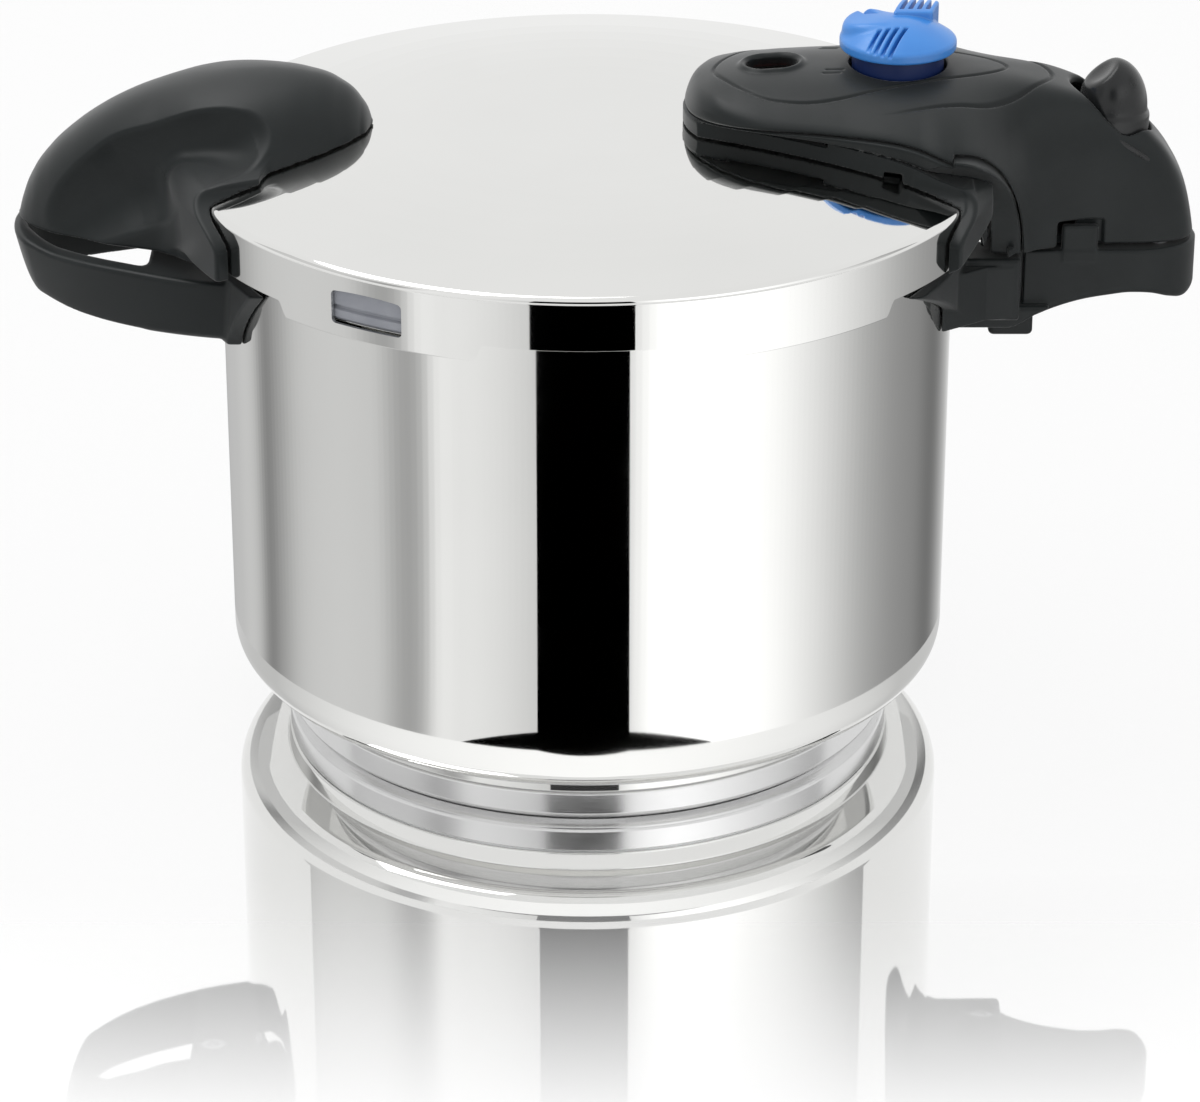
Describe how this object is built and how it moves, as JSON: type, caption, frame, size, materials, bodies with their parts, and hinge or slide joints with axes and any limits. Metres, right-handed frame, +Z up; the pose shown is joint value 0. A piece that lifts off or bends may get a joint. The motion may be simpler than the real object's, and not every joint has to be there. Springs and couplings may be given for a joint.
{
  "type": "pressure cooker",
  "caption": "Stove-top pressure cooker: flat-based round pot, domed bayonet lid, long valve handle with selector, indicator and lock, and a looped helper handle.",
  "frame": {"origin": "centre of the pot's base, on the surface it stands on", "axes": "+Z up along the pot's axis, +X towards the main handle that carries the valves"},
  "size_m": [0.3595, 0.2446, 0.2224],
  "materials": {
    "polished_steel": "mirror-polished stainless steel",
    "brushed_steel": "turned stainless steel",
    "plain_steel": "plain stainless steel",
    "aluminium_core": "as rolled",
    "spring_steel": "drawn wire",
    "brass": "turned",
    "phenolic": "satin moulded phenolic",
    "button_black": "semi-gloss moulded",
    "selector_blue": "semi-gloss moulded",
    "selector_dark": "moulded",
    "indicator_red": "gloss",
    "silicone": "matt silicone"
  },
  "bodies": {
    "pot": {"pot_body": "polished_steel", "base_core": "aluminium_core", "base_capsule": "brushed_steel", "pot_main_bracket": "plain_steel", "pot_main_handle": "phenolic", "pot_main_screw": "plain_steel", "pot_helper_bracket": "plain_steel", "pot_helper_handle": "phenolic", "pot_helper_screw": "plain_steel"},
    "gasket": {"sealing_ring": "silicone"},
    "lid": {"lid_shell": "polished_steel", "lid_main_bracket": "plain_steel", "lid_handle_tray": "phenolic", "lid_handle_shell": "phenolic", "lid_handle_screw": "plain_steel", "lid_shell_screws": "plain_steel", "lid_helper_bracket": "plain_steel", "lid_helper_cover": "phenolic", "lid_helper_screw": "plain_steel", "valve_body": "plain_steel", "valve_washer": "silicone", "valve_nut": "plain_steel", "indicator_bush": "plain_steel", "indicator_washer": "silicone", "indicator_nut": "plain_steel", "safety_body": "brass", "safety_washer": "silicone", "safety_nut": "brass"},
    "selector": {"selector_knob": "selector_blue", "selector_sleeve": "selector_dark"},
    "valve": {"valve_plunger": "plain_steel", "valve_spring": "spring_steel"},
    "indicator": {"indicator_pin": "plain_steel", "indicator_seal": "silicone", "indicator_cap": "indicator_red"},
    "safety": {"safety_plunger": "plain_steel", "safety_spring": "spring_steel"},
    "lock": {"lock_button": "button_black", "lock_bar": "plain_steel", "lock_screw": "plain_steel"}
  },
  "joints": [
    {"name": "lid_lift", "type": "slide", "parent": "pot", "child": "gasket", "axis": [0, 0, 1], "range_m": [0, 0.12]},
    {"name": "lid_turn", "type": "hinge", "parent": "gasket", "child": "lid", "pos_m": [0, 0, 0.17], "axis": [0, 0, 1], "range_deg": [0, 30]},
    {"name": "selector_turn", "type": "hinge", "parent": "lid", "child": "selector", "pos_m": [0.093, 0, 0.205], "axis": [0, 0, 1], "range_deg": [0, 90]},
    {"name": "valve_lift", "type": "slide", "parent": "lid", "child": "valve", "axis": [0, 0, 1], "range_m": [0, 0.002], "stiffness_N_per_m": 600, "springref_m": -0.004, "deforming": ["valve_spring"]},
    {"name": "indicator_rise", "type": "slide", "parent": "lid", "child": "indicator", "axis": [0, 0, 1], "range_m": [0, 0.006]},
    {"name": "safety_lift", "type": "slide", "parent": "lid", "child": "safety", "axis": [0, 0, 1], "range_m": [0, 0.0015], "stiffness_N_per_m": 900, "springref_m": -0.005, "deforming": ["safety_spring"]},
    {"name": "lock_slide", "type": "slide", "parent": "lid", "child": "lock", "axis": [-1, 0, 0], "range_m": [0, 0.004]}
  ]
}
